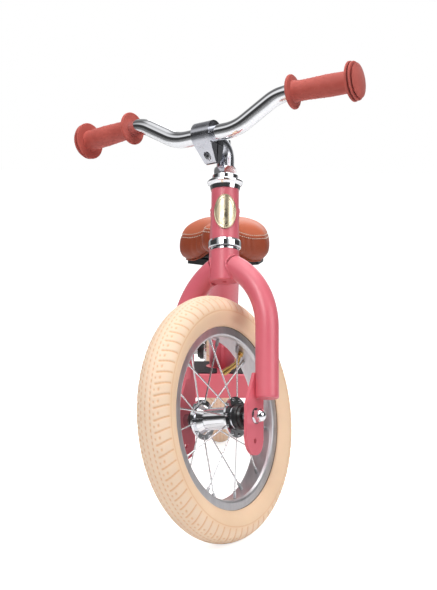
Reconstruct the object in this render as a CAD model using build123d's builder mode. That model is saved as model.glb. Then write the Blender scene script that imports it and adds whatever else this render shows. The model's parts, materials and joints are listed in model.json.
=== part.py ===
"""A child's balance bike: steel frame, turned fork, two spoked wheels, padded saddle.

Millimetres.  The origin is the point on the ground under the rear axle, +Z is up and the
bike faces -Y, so +X is the rider's left.  The steering stands turned to the rider's right.
"""
import math
import os

from build123d import *

# ---- driving dimensions -------------------------------------------------------------
wheel_radius = 150.0          # tyre outside, a 12 inch wheel
tyre_section = 22.5           # radius of the tyre's round section
tyre_wall = 3.2
wheelbase = 560.0
lean_angle = 18.35            # steering axis, back from vertical
steer_angle = 34.5            # how far the steering stands turned
axle_offset = 9.8             # front axle ahead of the steering axis

rim_outer = 110.5
rim_inner = 98.5
rim_half_width = 14.25
spoke_count = 20
first_spoke_angle = 16.5       # in the wheel, from straight back towards up
spoke_radius = 1.0
nipple_radius = 2.0
valve_angle = 44.0

flange_place = 24.0           # hub flange, out from the wheel's middle plane
flange_radius = 24.8
spoke_circle = 21.5
axle_radius = 4.5
dropout_inner = 48.0
dropout_outer = 52.0
running_gap = 0.05

steerer_radius = 12.7
quill_radius = 11.1
head_tube_radius = 17.4
head_tube_bore = 15.1
head_bottom = 225.0           # heights along the steering axis
head_top = 290.4
crown_bottom = 172.0
crown_top = 212.0
crown_radius = 18.0

blade_radius = 14.3
blade_place = 62.5
blade_bottom = 21.0
blade_arc_start = 108.0
blade_arc_radius = 93.0

bar_radius = 10.25
bar_reach = 42.0
bar_height = 352.4
bar_half_length = 205.0
bar_rise = 33.6
bar_sweep = 5.3                # grips point back from the middle of the bar
bar_tilt = 5.6                # the rise leans back from the steering axis
grip_start = 120.5

platform_half_width = 55.0
platform_front = -340.0
platform_back = -235.0
platform_top = 166.0
platform_bottom = 133.0
sheet = 3.0
pad_thickness = 2.0
foot_y = -279.0               # where the down tube stands on the platform
keel_half_width = 16.0
keel_back = -188.0

seat_angle = 63.0
seat_foot_y = -215.0
seat_tube_radius = 16.0
seat_tube_length = 125.0
post_radius = 12.7
post_length = 150.0

saddle_bottom = 306.0
saddle_top = 372.0
saddle_turn = -6.0             # the saddle stands a little askew on its post

# ---- derived places -----------------------------------------------------------------
lean = math.radians(lean_angle)
turn = math.radians(steer_angle)
tyre_circle = wheel_radius - tyre_section
axle_tilt = math.sin(turn) * math.sin(lean)
front_axle_height = tyre_circle * math.sqrt(1 - axle_tilt**2) + tyre_section
axis_foot = (
    0,
    -wheelbase + axle_offset * math.cos(lean),
    front_axle_height - axle_offset * math.cos(turn) * math.sin(lean),
)
straight = Plane(origin=axis_foot, x_dir=(1, 0, 0), z_dir=(0, math.sin(lean), math.cos(lean)))
steering = Plane(
    origin=axis_foot,
    x_dir=straight.x_dir * math.cos(turn) - straight.y_dir * math.sin(turn),
    z_dir=straight.z_dir,
)
keel_top = platform_top - sheet
strip_top = platform_top + pad_thickness + 0.2
ball_radius = 2.4
race_radius = 13.5            # inner race of both head bearings
ball_circle = race_radius + running_gap + ball_radius
cup_radius = ball_circle + ball_radius + running_gap

rear_hub = Plane(origin=(0, 0, wheel_radius), x_dir=(0, 1, 0), z_dir=(1, 0, 0))
front_hub = Plane(
    origin=steering.from_local_coords(Vector(0, -axle_offset, 0)),
    x_dir=steering.y_dir * math.cos(lean) + steering.z_dir * math.sin(lean),
    z_dir=steering.x_dir,
)
seat_axis = Plane(
    origin=(0, seat_foot_y, keel_top),
    x_dir=(1, 0, 0),
    z_dir=(0, math.cos(math.radians(seat_angle)), math.sin(math.radians(seat_angle))),
)
bar_plane_tilt = math.radians(bar_tilt)
bar_up = steering.z_dir * math.cos(bar_plane_tilt) + steering.y_dir * math.sin(bar_plane_tilt)
bar_plane = Plane(
    origin=steering.from_local_coords(Vector(0, -bar_reach, bar_height)),
    x_dir=steering.x_dir,
    z_dir=steering.x_dir.cross(bar_up),
)

os.makedirs("parts", exist_ok=True)


# ---- helpers ------------------------------------------------------------------------
def save(builder, label):
    """Label a finished piece and write it."""
    builder.part.label = label
    export_step(builder.part, f"parts/{label}.step")


def side_of(plane):
    """The plane through an axis on which a turned profile is drawn: x is radius, y is height."""
    return Plane(origin=plane.origin, x_dir=plane.x_dir, z_dir=-plane.y_dir)


def turned(plane, *profiles):
    """A piece turned about the plane's normal, from closed (radius, height) outlines."""
    with BuildPart() as piece:
        for profile in profiles:
            with BuildSketch(side_of(plane)):
                with BuildLine():
                    Polyline(*profile, close=True)
                make_face()
            revolve(axis=Axis(plane.origin, plane.z_dir))
    return piece


def ring(low, high, outer, inner):
    """The outline of a plain ring between two heights."""
    return [(inner, low), (outer, low), (outer, high), (inner, high)]


def dome_middle(radius, low, high):
    """The point half way up the arc of a round cap that is closed at its top."""
    sphere = (radius**2 + (high - low) ** 2) / (2 * (high - low))
    half_angle = math.asin(radius / sphere) / 2
    return (sphere * math.sin(half_angle), high - sphere + sphere * math.cos(half_angle))


def along(start, end):
    """A plane at one point whose normal looks at another."""
    return Plane(origin=start, z_dir=end - start)


def rods(pairs, radius, mode=Mode.ADD):
    """Round rods between pairs of points that are all equally far apart."""
    length = (pairs[0][1] - pairs[0][0]).length
    with Locations(*[along(start, end) for start, end in pairs]):
        Cylinder(radius, length, align=(Align.CENTER, Align.CENTER, Align.MIN), mode=mode)


def rod(start, end, radius, mode=Mode.ADD):
    """One round rod between two points."""
    rods([(start, end)], radius, mode)


# ---- wheels -------------------------------------------------------------------------
def wheel_point(hub, radius, angle, across):
    """A point on a wheel from its radius, its angle and its place across the wheel."""
    turned_to = math.radians(angle)
    local = Vector(radius * math.cos(turned_to), radius * math.sin(turned_to), across)
    return hub.from_local_coords(local)


class Spoke:
    """Where one spoke runs: hub end, rim end, and its hooked head outside the flange."""

    def __init__(self, hub, index):
        side = 1 if index % 2 == 0 else -1
        angle = first_spoke_angle + 360 / spoke_count * index
        self.inner = wheel_point(hub, spoke_circle, angle, side * (flange_place - 2.4))
        self.outer = wheel_point(hub, rim_inner + 5, angle, side * 3)
        self.way = (self.outer - self.inner).normalized()
        self.head = wheel_point(hub, spoke_circle, angle, side * (flange_place + 2.8))
        self.cap = wheel_point(hub, spoke_circle, angle, side * (flange_place + 1.6))


def spokes_of(hub):
    """The spokes go to alternate flanges, evenly spaced."""
    return [Spoke(hub, index) for index in range(spoke_count)]


def make_tyre(hub):
    with BuildPart() as tyre:
        with BuildSketch(side_of(hub)):
            with Locations((tyre_circle, 0)):
                Circle(tyre_section)
                Circle(tyre_section - tyre_wall, mode=Mode.SUBTRACT)
            with Locations((rim_outer + 0.2 - wheel_radius / 2, 0)):
                Rectangle(wheel_radius, 4 * tyre_section, mode=Mode.SUBTRACT)
        revolve(axis=Axis(hub.origin, hub.z_dir))
    return tyre


def make_inner_tube(hub):
    outer = tyre_section - tyre_wall - 0.2
    with BuildPart() as tube:
        with BuildSketch(side_of(hub)):
            with Locations((tyre_circle, 0)):
                Circle(outer)
                Circle(outer - 1.2, mode=Mode.SUBTRACT)
        revolve(axis=Axis(hub.origin, hub.z_dir))
    return tube


def make_rim(hub):
    half = [
        (rim_inner, 0),
        (rim_inner, rim_half_width - 3.5),
        (rim_inner + 1.5, rim_half_width - 0.8),
        (rim_inner + 3.5, rim_half_width),
        (rim_outer, rim_half_width),
        (rim_outer, rim_half_width - 2.2),
        (rim_inner + 6.0, rim_half_width - 3.2),
        (rim_inner + 3.5, rim_half_width - 7.5),
        (rim_inner + 3.5, 0),
    ]
    other_half = [(radius, -across) for radius, across in reversed(half[1:-1])]
    with BuildPart() as rim:
        with BuildSketch(side_of(hub)):
            with BuildLine():
                Polyline(*half, *other_half, close=True)
            make_face()
        revolve(axis=Axis(hub.origin, hub.z_dir))
        holes = [(spoke.inner, spoke.outer + spoke.way * 12) for spoke in spokes_of(hub)]
        rods(holes, nipple_radius + 0.1, Mode.SUBTRACT)
        valve_foot = wheel_point(hub, rim_inner - 10, valve_angle, 0)
        valve_top = wheel_point(hub, rim_outer, valve_angle, 0)
        rod(valve_foot, valve_top, 4.0, Mode.SUBTRACT)
    return rim


def make_spokes(hub):
    spokes = spokes_of(hub)
    with BuildPart() as wires:
        rods([(spoke.inner, spoke.outer - spoke.way * 3) for spoke in spokes], spoke_radius)
        with Locations(*[spoke.inner for spoke in spokes]):
            Sphere(1.05 * spoke_radius)
        rods([(spoke.inner, spoke.head) for spoke in spokes], spoke_radius)
        rods([(spoke.cap, spoke.head) for spoke in spokes], 1.9 * spoke_radius)
    return wires


def make_nipples(hub):
    spokes = spokes_of(hub)
    with BuildPart() as nipples:
        rods([(spoke.outer - spoke.way * 13.5, spoke.outer) for spoke in spokes], nipple_radius)
        rods([(spoke.outer - spoke.way * 0.5, spoke.outer + spoke.way * 1.8) for spoke in spokes],
             1.45 * nipple_radius)
        rods([(spoke.outer - spoke.way * 15, spoke.outer - spoke.way * 3) for spoke in spokes],
             spoke_radius, Mode.SUBTRACT)
    return nipples


def make_valve(hub):
    """A bent brass valve: stem through the rim, elbow, then the long arm with its cap."""
    top = wheel_point(hub, rim_outer - 3.0, valve_angle, 0)
    foot = wheel_point(hub, rim_inner - 0.4, valve_angle, 0)
    elbow = wheel_point(hub, rim_inner - 16, valve_angle, 0)
    end = wheel_point(hub, rim_inner - 29.5, valve_angle, -16)
    arm = (end - elbow).normalized()
    with BuildPart() as valve:
        rod(top, elbow, 2.9)
        rod(foot, wheel_point(hub, rim_inner - 3.4, valve_angle, 0), 4.6)
        with Locations(elbow):
            Sphere(3.1)
        rod(elbow, elbow + arm * 14, 3.1)
        rod(elbow + arm * 5, elbow + arm * 6.5, 3.7)
        rod(elbow + arm * 12, end, 3.9)
    return valve


hub_cup = 13.05               # bearing cup in the hub
hub_ball = 2.5
hub_race = hub_cup - 2 * hub_ball - 2 * running_gap
hub_ball_place = 24.5


def make_hub_shell(hub):
    half = [
        (13.5, 0),
        (13.5, 16.0),
        (18.5, flange_place - 1.6),
        (flange_radius, flange_place - 1.4),
        (flange_radius, flange_place + 1.4),
        (14.6, flange_place + 1.6),
        (14.6, 31.0),
        (hub_cup, 31.0),
        (hub_cup, hub_ball_place - hub_ball - running_gap),
        (9.0, hub_ball_place - hub_ball - running_gap),
        (9.0, 0),
    ]
    other_half = [(radius, -across) for radius, across in reversed(half[1:-1])]
    with BuildPart() as shell:
        with BuildSketch(side_of(hub)):
            with BuildLine():
                Polyline(*half, *other_half, close=True)
            make_face()
        revolve(axis=Axis(hub.origin, hub.z_dir))
        rods([(spoke.inner, spoke.head) for spoke in spokes_of(hub)], spoke_radius + 0.02,
             Mode.SUBTRACT)
    return shell


def mirrored_ends(hub, *profiles):
    """The same turned ring on both sides of the wheel."""
    outlines = []
    for profile in profiles:
        outlines.append(profile)
        outlines.append([(radius, -across) for radius, across in profile])
    return turned(hub, *outlines)


def make_hub_caps(hub):
    cap = [
        (14.6, flange_place + 3.2),
        (15.6, flange_place + 3.2),
        (15.6, 32.4),
        (14.8, 33.8),
        (13.4, 34.2),
        (12.4, 37.2),
        (8.15, 37.2),
        (8.15, 35.2),
        (10.8, 35.0),
        (11.6, 32.0),
        (14.6, 31.6),
    ]
    return mirrored_ends(hub, cap)


def make_hub_balls(hub):
    circle = hub_race + running_gap + hub_ball
    with BuildPart() as balls:
        for place in (-hub_ball_place, hub_ball_place):
            with Locations(hub.offset(place)):
                with PolarLocations(circle, 9):
                    Sphere(hub_ball)
    return balls


def make_cones(hub):
    """Cones and their lock nuts, threaded on the axle inside the dropouts."""
    shoulder = hub_ball_place + hub_ball + running_gap
    cone = [
        (axle_radius, 20.5),
        (hub_race, 20.5),
        (hub_race, shoulder),
        (9.4, shoulder),
        (9.4, 31.0),
        (8.0, 31.5),
        (8.0, 41.0),
        (axle_radius, 41.0),
    ]
    lock_nut = ring(41.0, dropout_inner, 8.5, axle_radius)
    return mirrored_ends(hub, cone, lock_nut)


def make_axle(hub):
    with BuildPart() as axle:
        with BuildSketch(hub.offset(-61)):
            Circle(axle_radius)
        extrude(amount=122)
        chamfer(axle.edges(), length=0.8)
    return axle


def make_axle_nuts(hub):
    """Washer and domed nut outside each dropout."""
    with BuildPart() as nuts:
        for side in (-1, 1):
            face = Plane(
                origin=hub.origin + hub.z_dir * side * dropout_outer,
                x_dir=hub.x_dir,
                z_dir=hub.z_dir * side,
            )
            with BuildSketch(face):
                Circle(9.5)
                Circle(axle_radius, mode=Mode.SUBTRACT)
            extrude(amount=1.5)
            with BuildSketch(face.offset(1.5)):
                RegularPolygon(8.6, 6)
            extrude(amount=6.0)
            with BuildSketch(side_of(face)):
                with BuildLine():
                    Polyline((0, 14.0), (0, 7.0), (7.3, 7.0), (7.3, 9.0))
                    ThreePointArc((7.3, 9.0), dome_middle(7.3, 9.0, 14.0), (0, 14.0))
                make_face()
            revolve(axis=Axis(face.origin, face.z_dir))
            with BuildSketch(face):
                Circle(axle_radius)
            extrude(amount=61.2 - dropout_outer, mode=Mode.SUBTRACT)
    return nuts


for end, hub in (("front", front_hub), ("rear", rear_hub)):
    save(make_tyre(hub), f"{end}_tyre")
    save(make_inner_tube(hub), f"{end}_inner_tube")
    save(make_rim(hub), f"{end}_rim")
    save(make_spokes(hub), f"{end}_spokes")
    save(make_nipples(hub), f"{end}_spoke_nipples")
    save(make_valve(hub), f"{end}_valve")
    save(make_hub_shell(hub), f"{end}_hub_shell")
    save(make_hub_caps(hub), f"{end}_hub_caps")
    save(make_hub_balls(hub), f"{end}_hub_balls")
    save(make_cones(hub), f"{end}_cones")
    save(make_axle(hub), f"{end}_axle")
    save(make_axle_nuts(hub), f"{end}_axle_nuts")


# ---- fork ---------------------------------------------------------------------------
steerer_top = 314.0
crown_floor = 3.0              # closes the steerer's lower end
steerer_bottom = crown_bottom + crown_floor
save(turned(steering, ring(steerer_bottom, steerer_top, steerer_radius, quill_radius + running_gap)),
     "steerer_tube")

with BuildPart() as fork_crown:
    with BuildSketch(steering.offset(crown_bottom)):
        Circle(crown_radius)
        Circle(3.0, mode=Mode.SUBTRACT)
    extrude(amount=crown_floor)
    with BuildSketch(steering.offset(steerer_bottom)):
        Circle(crown_radius)
        Circle(steerer_radius, mode=Mode.SUBTRACT)
    extrude(amount=crown_top - steerer_bottom)
    outer_edges = fork_crown.edges().filter_by(GeomType.CIRCLE).filter_by(
        lambda edge: abs(edge.radius - crown_radius) < 0.1)
    fillet(outer_edges, radius=1.5)
save(fork_crown, "fork_crown")

steering_front = Plane(origin=steering.origin, x_dir=steering.x_dir, z_dir=-steering.y_dir)


with BuildPart() as fork_dropouts:
    for side in (-1, 1):
        low = min(side * dropout_inner, side * dropout_outer)
        plate_place = steering.from_local_coords(Vector(low, -axle_offset, 0))
        plate = Plane(origin=plate_place, x_dir=steering.y_dir, z_dir=steering.x_dir)
        with BuildSketch(plate):
            with BuildLine():
                Polyline((-17, -34), (-18.5, -28), (-18.5, 12), (-1.5, 52), (axle_offset + 8, 54),
                         (18.5, 30), (18.5, -28), (17, -34))
                ThreePointArc((17, -34), (0, -47), (-17, -34))
            make_face()
            Circle(axle_radius + 0.1, mode=Mode.SUBTRACT)
            with Locations((0, -30)):
                Circle(3.25, mode=Mode.SUBTRACT)
        extrude(amount=dropout_outer - dropout_inner)
save(fork_dropouts, "fork_dropouts")


def make_blade(side):
    """A fork leg: straight up from its closed foot, then a wide arc in to the crown."""
    swing = math.radians(62)
    arc_middle = (
        side * (blade_place - blade_arc_radius * (1 - math.cos(swing / 2))),
        blade_arc_start + blade_arc_radius * math.sin(swing / 2),
    )
    arc_end = (
        side * (blade_place - blade_arc_radius * (1 - math.cos(swing))),
        blade_arc_start + blade_arc_radius * math.sin(swing),
    )
    with BuildPart() as blade:
        with BuildLine(steering_front) as route:
            Line((side * blade_place, blade_bottom), (side * blade_place, blade_arc_start))
            ThreePointArc((side * blade_place, blade_arc_start), arc_middle, arc_end)
        foot = steering.from_local_coords(Vector(side * blade_place, 0, blade_bottom))
        foot_plane = Plane(origin=foot, x_dir=steering.x_dir, z_dir=steering.z_dir)
        with BuildSketch(foot_plane):
            Circle(blade_radius)
            Circle(blade_radius - 1.8, mode=Mode.SUBTRACT)
        sweep(path=route.line)
        with BuildSketch(foot_plane):
            Circle(blade_radius)
        extrude(amount=2.5)
        lowest = blade.edges().filter_by(GeomType.CIRCLE).filter_by(
            lambda edge: abs(edge.radius - blade_radius) < 0.1)
        fillet(lowest.sort_by_distance(foot)[0], radius=2.2)
        with BuildSketch(foot_plane):
            Circle(2.0)
        extrude(amount=3.0, mode=Mode.SUBTRACT)
        with BuildSketch(steering.offset(crown_bottom - 12)):
            Circle(crown_radius)
        extrude(amount=crown_top - crown_bottom + 24, mode=Mode.SUBTRACT)
        add(fork_dropouts.part, mode=Mode.SUBTRACT)
    return blade


save(make_blade(1), "fork_blade_left")
save(make_blade(-1), "fork_blade_right")

# ---- head bearings ------------------------------------------------------------------
lower_ball_height = 217.2
upper_ball_height = 300.0
touch = ball_radius + running_gap
save(turned(steering, [
    (steerer_radius, crown_top),
    (17.0, crown_top),
    (17.0, lower_ball_height - touch),
    (race_radius, lower_ball_height - touch),
    (race_radius, lower_ball_height + 4),
    (steerer_radius, lower_ball_height + 4),
]), "crown_race")

save(turned(straight, [
    (cup_radius, lower_ball_height - 2.0),
    (20.2, lower_ball_height - 2.0),
    (20.6, lower_ball_height - 1.2),
    (20.6, head_bottom - 2.4),
    (19.4, head_bottom),
    (head_tube_bore, head_bottom),
    (head_tube_bore, head_bottom + 9.5),
    (race_radius + 0.6, head_bottom + 9.5),
    (race_radius + 0.6, lower_ball_height + touch),
    (cup_radius, lower_ball_height + touch),
]), "lower_head_cup")

save(turned(straight, [
    (race_radius + 0.6, head_top - 9.5),
    (head_tube_bore, head_top - 9.5),
    (head_tube_bore, head_top),
    (18.4, head_top),
    (19.2, 296.0),
    (21.6, 298.6),
    (23.0, 299.4),
    (23.0, 301.2),
    (22.0, 302.6),
    (cup_radius, 302.6),
    (cup_radius, upper_ball_height - touch),
    (race_radius + 0.6, upper_ball_height - touch),
]), "upper_head_cup")

with BuildPart() as head_balls:
    for height in (lower_ball_height, upper_ball_height):
        with Locations(straight.offset(height)):
            with PolarLocations(ball_circle, 16):
                Sphere(ball_radius)
save(head_balls, "head_bearing_balls")

save(turned(steering, [
    (steerer_radius, 297.6),
    (race_radius, 297.6),
    (race_radius, upper_ball_height + touch),
    (17.2, upper_ball_height + touch),
    (17.2, 303.6),
    (16.8, 304.2),
    (16.8, 309.2),
    (16.2, 310.0),
    (steerer_radius, 310.0),
]), "top_cone_nut")

with BuildPart() as lock_nut:
    with BuildSketch(steering.offset(310.0)):
        RegularPolygon(15.8, 6)
        Circle(steerer_radius, mode=Mode.SUBTRACT)
    extrude(amount=9.5)
    with BuildSketch(side_of(steering)):
        with BuildLine():
            Polyline((0, 300), (17.5, 300), (17.5, 311), (14.2, 319.5), (0, 319.5), close=True)
        make_face()
    revolve(axis=Axis(steering.origin, steering.z_dir), mode=Mode.INTERSECT)
save(lock_nut, "steering_lock_nut")

# ---- stem and handlebar -------------------------------------------------------------
quill_bottom = 196.0
wedge_bottom = 176.0
clamp_radius = 16.8
clamp_half_width = 13.2
ear_y = -30.0
ear_height = 325.5
steering_side = Plane(origin=steering.origin, x_dir=steering.y_dir, z_dir=steering.x_dir)


def cut_slant(upper):
    """Cut away one side of the slanted split between quill and wedge."""
    cut_plane = Plane(
        origin=steering.from_local_coords(Vector(0, 0, quill_bottom)),
        x_dir=steering.x_dir,
        z_dir=(steering.z_dir + steering.y_dir * 0.6).normalized(),
    )
    middle = cut_plane.offset(30 if upper else -30)
    with Locations(middle):
        Box(60, 60, 60, mode=Mode.SUBTRACT)


with BuildPart() as stem:
    with BuildLine(steering_side) as stem_route:
        FilletPolyline((0, quill_bottom - 8), (0, bar_height - 4), (-bar_reach, bar_height - 2), radius=18)
    with BuildSketch(steering.offset(quill_bottom - 8)):
        Circle(quill_radius)
    sweep(path=stem_route.line)
    with BuildSketch(steering_side.offset(-clamp_half_width)) as clamp_side:
        with Locations((-bar_reach, bar_height)):
            Circle(clamp_radius)
        with Locations((ear_y, ear_height)):
            Circle(7.6)
        make_hull()
    extrude(amount=2 * clamp_half_width)
    ear_front = steering_front.offset(60)
    for side in (-1, 1):
        with BuildSketch(ear_front):
            with BuildLine():
                Polyline((side * 13.4, bar_height - 12), (side * 7.2, ear_height - 12),
                         (side * 30, ear_height - 12), (side * 30, bar_height - 12), close=True)
            make_face()
        extrude(amount=-44, mode=Mode.SUBTRACT)
    bore_start = bar_plane.origin - steering.x_dir * 30
    rod(bore_start, bore_start + steering.x_dir * 60, bar_radius, Mode.SUBTRACT)
    with BuildSketch(steering_side.offset(-20)):
        with BuildLine():
            Polyline((-bar_reach + 2.2, bar_height - 5), (-bar_reach + 4.2, bar_height - 5),
                     (ear_y + 1.0, ear_height - 12), (ear_y - 1.0, ear_height - 12), close=True)
        make_face()
    extrude(amount=40, mode=Mode.SUBTRACT)
    pinch_start = steering.from_local_coords(Vector(0, ear_y - 14, ear_height))
    pinch_end = steering.from_local_coords(Vector(0, ear_y + 14, ear_height))
    rod(pinch_start, pinch_end, 2.6, Mode.SUBTRACT)
    pinch_seat = steering.from_local_coords(Vector(0, ear_y - 5.2, ear_height))
    rod(pinch_start, pinch_seat, 4.7, Mode.SUBTRACT)
    bolt_low = steering.from_local_coords(Vector(0, 0, quill_bottom - 30))
    bolt_high = steering.from_local_coords(Vector(0, 0, bar_height + 30))
    rod(bolt_low, bolt_high, 4.1, Mode.SUBTRACT)
    head_seat = steering.from_local_coords(Vector(0, 0, bar_height - 4))
    rod(head_seat, bolt_high, 6.8, Mode.SUBTRACT)
    cut_slant(False)
save(stem, "stem")

with BuildPart() as stem_wedge:
    with BuildSketch(steering.offset(wedge_bottom)):
        Circle(quill_radius)
        Circle(4.0, mode=Mode.SUBTRACT)
    extrude(amount=40)
    cut_slant(True)
save(stem_wedge, "stem_wedge")

with BuildPart() as stem_bolts:
    with BuildSketch(steering.offset(wedge_bottom + 1)):
        Circle(4.0)
    extrude(amount=bar_height - 4 - wedge_bottom - 1)
    with BuildSketch(steering.offset(bar_height - 4)):
        Circle(6.5)
        RegularPolygon(3.4, 6, mode=Mode.SUBTRACT)
    extrude(amount=8)
    head_place = steering.from_local_coords(Vector(0, ear_y - 9.6, ear_height))
    pinch = Plane(origin=head_place, x_dir=steering.x_dir, z_dir=steering.y_dir)
    with BuildSketch(pinch):
        Circle(4.4)
        RegularPolygon(2.3, 6, mode=Mode.SUBTRACT)
    extrude(amount=3.0)
    with BuildSketch(pinch.offset(3.0)):
        Circle(4.4)
    extrude(amount=1.2)
    with BuildSketch(pinch.offset(4.2)):
        Circle(2.5)
    extrude(amount=12.6)
save(stem_bolts, "stem_bolts")

low_bend = 44.9
high_bend = 103.1
sweep_back = math.radians(bar_sweep)


def grip_spot(side, across):
    """A point on the swept outer part of the bar."""
    back = (across - high_bend) * math.tan(sweep_back)
    return bar_plane.from_local_coords(Vector(side * across, bar_rise, -back))


def grip_way(side):
    return bar_plane.x_dir * side * math.cos(sweep_back) - bar_plane.z_dir * math.sin(sweep_back)


bar_turns = [(high_bend, bar_rise), (low_bend, 0)]
bar_points = [
    grip_spot(-1, bar_half_length),
    *[bar_plane.from_local_coords(Vector(-x, y, 0)) for x, y in bar_turns],
    *[bar_plane.from_local_coords(Vector(x, y, 0)) for x, y in reversed(bar_turns)],
    grip_spot(1, bar_half_length),
]
with BuildPart() as handlebar:
    with BuildLine() as bar_route:
        FilletPolyline(*bar_points, radius=54)
    with BuildSketch(Plane(origin=bar_points[0], x_dir=bar_plane.y_dir, z_dir=-grip_way(-1))):
        Circle(bar_radius)
        Circle(bar_radius - 1.5, mode=Mode.SUBTRACT)
    sweep(path=bar_route.line)
save(handlebar, "handlebar")


def make_grip(side):
    """A rubber grip with an inner flange, two outer flanges and a domed end."""
    grip_axis = Plane(origin=grip_spot(side, grip_start), x_dir=bar_plane.y_dir, z_dir=grip_way(side))
    bar_end_height = (bar_half_length - grip_start) / math.cos(sweep_back)
    with BuildPart() as grip:
        with BuildSketch(side_of(grip_axis)):
            with BuildLine():
                Polyline(
                    (bar_radius, 0), (20.4, 0), (21.4, 1.0), (21.4, 2.6), (20.4, 3.6),
                    (14.0, 4.6), (12.8, 7.0), (12.6, 20), (13.8, 50), (13.4, 75), (14.2, 78.0),
                    (23.6, 78.6), (24.4, 79.2), (24.4, 80.4), (23.6, 81.1), (16, 81.4), (16, 82.8),
                    (22.8, 83.1), (23.6, 83.7), (23.6, 84.9), (22.8, 85.5), (15.5, 85.8),
                    (15.5, 86.9), (20.4, 87.2), (21.2, 88.1))
                ThreePointArc((21.2, 88.1), dome_middle(21.2, 88.1, 91.5), (0, 91.5))
                Polyline((0, 91.5), (0, bar_end_height), (bar_radius, bar_end_height), (bar_radius, 0))
            make_face()
        revolve(axis=Axis(grip_axis.origin, grip_axis.z_dir))
    return grip


save(make_grip(1), "grip_left")
save(make_grip(-1), "grip_right")

# ---- frame --------------------------------------------------------------------------
save(turned(straight, ring(head_bottom, head_top, head_tube_radius, head_tube_bore)), "head_tube")

badge_height = 258.6
with BuildPart() as head_badge:
    with BuildSketch(Plane(origin=straight.origin, x_dir=straight.x_dir, z_dir=-straight.y_dir)):
        with Locations((0, badge_height)):
            Ellipse(14.0, 22.4)
    extrude(amount=40)
    with BuildSketch(straight.offset(badge_height - 30)):
        Circle(head_tube_radius + 1.2)
    extrude(amount=60, mode=Mode.INTERSECT)
    with BuildSketch(straight.offset(badge_height - 30)):
        Circle(head_tube_radius)
    extrude(amount=60, mode=Mode.SUBTRACT)
save(head_badge, "head_badge")

head_joint = straight.from_local_coords(Vector(0, 0, 266.0))
foot_joint = Vector(0, foot_y, strip_top)
tube_way = (foot_joint - head_joint).normalized()
tube_tail = foot_joint + tube_way * 30
with BuildPart() as down_tube:
    top_section = Plane(origin=head_joint, x_dir=(1, 0, 0), z_dir=tube_way)
    middle_section = top_section.offset((tube_tail - head_joint).length / 2)
    tail_section = Plane(origin=tube_tail, x_dir=(1, 0, 0), z_dir=tube_way)
    for wall, mode in ((0.0, Mode.ADD), (1.8, Mode.SUBTRACT)):
        with BuildSketch(top_section):
            Circle(17.3 - wall)
        with BuildSketch(middle_section):
            Circle(20.3 - wall)
        with BuildSketch(tail_section):
            Circle(16.2 - wall)
        loft(mode=mode)
    with BuildSketch(straight.offset(180)):
        Circle(head_tube_radius)
        with Locations((0, -48)):
            Rectangle(100, 100)
    extrude(amount=180, mode=Mode.SUBTRACT)
    with BuildSketch(Plane(origin=(0, foot_y, strip_top), z_dir=(0, 0, 1))):
        Rectangle(200, 200)
    extrude(amount=-80, mode=Mode.SUBTRACT)
save(down_tube, "down_tube")

with BuildPart() as gusset:
    with BuildSketch(Plane(origin=(-1.5, 0, 0), x_dir=(0, 1, 0), z_dir=(1, 0, 0))):
        with BuildLine():
            Polyline((-290, strip_top), (-350, 242), (-342, 204), (-306, strip_top), close=True)
        make_face()
    extrude(amount=3.0)
    rod(head_joint, tube_tail, 17.2, Mode.SUBTRACT)
    add(down_tube.part, mode=Mode.SUBTRACT)
save(gusset, "gusset")

with BuildPart() as platform:
    platform_middle = (platform_front + platform_back) / 2
    platform_length = platform_back - platform_front
    with BuildSketch(Plane.XY.offset(platform_bottom)):
        with Locations((0, platform_middle)):
            Rectangle(2 * platform_half_width, platform_length)
    extrude(amount=platform_top - platform_bottom)
    fillet(platform.edges().filter_by(Axis.Z), radius=12)
    fillet(platform.faces().sort_by(Axis.Z)[-1].edges(), radius=2.5)
    with BuildSketch(Plane.XY.offset(platform_bottom)):
        with Locations((0, platform_middle + sheet)):
            Rectangle(2 * (platform_half_width - sheet), platform_length)
    extrude(amount=platform_top - platform_bottom - sheet, mode=Mode.SUBTRACT)
    with BuildSketch(Plane.XY.offset(platform_top)):
        with Locations((0, foot_y - 1)):
            Circle(22.5)
        with Locations((0, (platform_front + foot_y) / 2 + 2)):
            Rectangle(14, foot_y - platform_front - 4)
    extrude(amount=strip_top - platform_top)
save(platform, "platform")

with BuildPart() as grip_pads:
    for side in (-1, 1):
        with BuildSketch(Plane.XY.offset(platform_top)):
            with Locations((side * 29.2, platform_middle)):
                RectangleRounded(43.4, platform_length - 6, 8)
            with Locations((0, foot_y - 1)):
                Circle(22.9, mode=Mode.SUBTRACT)
        extrude(amount=pad_thickness)
save(grip_pads, "grip_pads")

with BuildPart() as keel:
    keel_front = platform_front + sheet
    with BuildSketch(Plane.XY.offset(platform_bottom + 2)):
        with Locations((0, (keel_front + keel_back) / 2)):
            Rectangle(2 * keel_half_width, keel_back - keel_front)
    extrude(amount=keel_top - platform_bottom - 2)
    fillet(keel.edges().filter_by(Axis.Y), radius=5)
    with BuildSketch(Plane.XZ.offset(-keel_front)):
        with Locations((0, (platform_bottom + 2 + keel_top) / 2)):
            RectangleRounded(2 * keel_half_width - 4, keel_top - platform_bottom - 6, 3.5)
    extrude(amount=-(keel_back - keel_front - 2), mode=Mode.SUBTRACT)
save(keel, "keel")

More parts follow.
